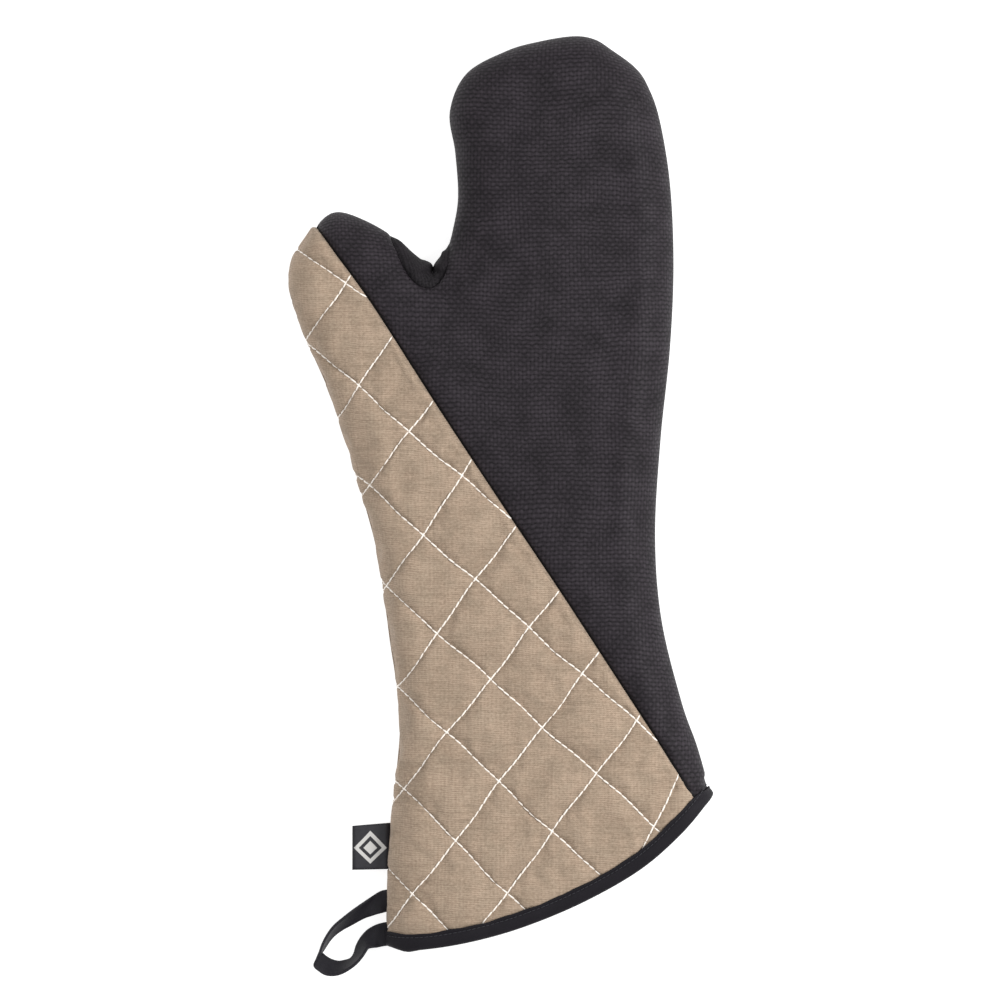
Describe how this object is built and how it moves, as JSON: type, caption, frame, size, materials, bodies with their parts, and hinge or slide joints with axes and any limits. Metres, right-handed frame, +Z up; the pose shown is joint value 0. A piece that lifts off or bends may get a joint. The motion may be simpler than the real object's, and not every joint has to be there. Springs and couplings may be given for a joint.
{
  "type": "oven mitt",
  "caption": "Long padded oven mitt lying flat: black rubber-faced hand, quilted tan gauntlet, bound curved cuff, hanging loop and side label.",
  "frame": {"origin": "bottom centre of the box around the mitt as it lies on its back, loop included", "axes": "+Y towards the fingertips, +Z up out of the palm side, thumb towards -X"},
  "size_m": [0.2814, 0.6256, 0.0376],
  "materials": {
    "black_knit": "matte rubber-faced knit in raised rows",
    "tan_canvas": "plain-weave cotton canvas",
    "white_thread": "twisted sewing thread",
    "felt": "needled felt",
    "wadding": "quilt wadding",
    "lining_cloth": "brushed cotton",
    "gusset_cloth": "smooth black knit",
    "binding_twill": "black twill bias tape",
    "black_thread": "black sewing thread",
    "loop_tape": "black twill tape",
    "label_satin": "woven satin label"
  },
  "bodies": {
    "root": {"palm_side_neoprene_hand": "black_knit", "palm_side_canvas_gauntlet": "tan_canvas", "palm_side_quilting_gauntlet": "white_thread", "palm_side_felt_hand": "felt", "palm_side_wadding_gauntlet": "wadding", "palm_side_lining_hand": "lining_cloth", "back_side_neoprene_hand": "black_knit", "back_side_canvas_gauntlet": "tan_canvas", "back_side_quilting_gauntlet": "white_thread", "back_side_felt_hand": "felt", "back_side_wadding_gauntlet": "wadding", "back_side_lining_hand": "lining_cloth", "web_gusset": "gusset_cloth", "cuff_binding": "binding_twill", "cuff_binding_stitch": "black_thread"},
    "fingers": {"palm_side_neoprene_fingers": "black_knit", "palm_side_felt_fingers": "felt", "palm_side_lining_fingers": "lining_cloth", "back_side_neoprene_fingers": "black_knit", "back_side_felt_fingers": "felt", "back_side_lining_fingers": "lining_cloth"},
    "thumb": {"palm_side_neoprene_thumb": "black_knit", "palm_side_canvas_thumb": "tan_canvas", "palm_side_quilting_thumb": "white_thread", "palm_side_felt_thumb": "felt", "palm_side_wadding_thumb": "wadding", "palm_side_lining_thumb": "lining_cloth", "back_side_neoprene_thumb": "black_knit", "back_side_canvas_thumb": "tan_canvas", "back_side_quilting_thumb": "white_thread", "back_side_felt_thumb": "felt", "back_side_wadding_thumb": "wadding", "back_side_lining_thumb": "lining_cloth", "web_gusset_thumb_end": "gusset_cloth"},
    "loop": {"hanging_loop": "loop_tape"},
    "label": {"side_label": "label_satin"}
  },
  "joints": [
    {"name": "finger_curl", "type": "hinge", "parent": "root", "child": "fingers", "pos_m": [0.04, 0.204, 0.0371], "axis": [1, 0, 0], "range_deg": [0, 70]},
    {"name": "thumb_fold", "type": "hinge", "parent": "root", "child": "thumb", "pos_m": [-0.08891, 0.11743, 0.0371], "axis": [0.5708, 0.8211, 0], "range_deg": [0, 55]},
    {"name": "loop_swing", "type": "hinge", "parent": "root", "child": "loop", "pos_m": [-0.0765, -0.2746, 0.0108], "axis": [0, 1, 0], "range_deg": [0, 40]},
    {"name": "label_flap", "type": "hinge", "parent": "root", "child": "label", "pos_m": [-0.0752, -0.2275, 0.0108], "axis": [0, 1, 0], "range_deg": [0, 75]}
  ]
}
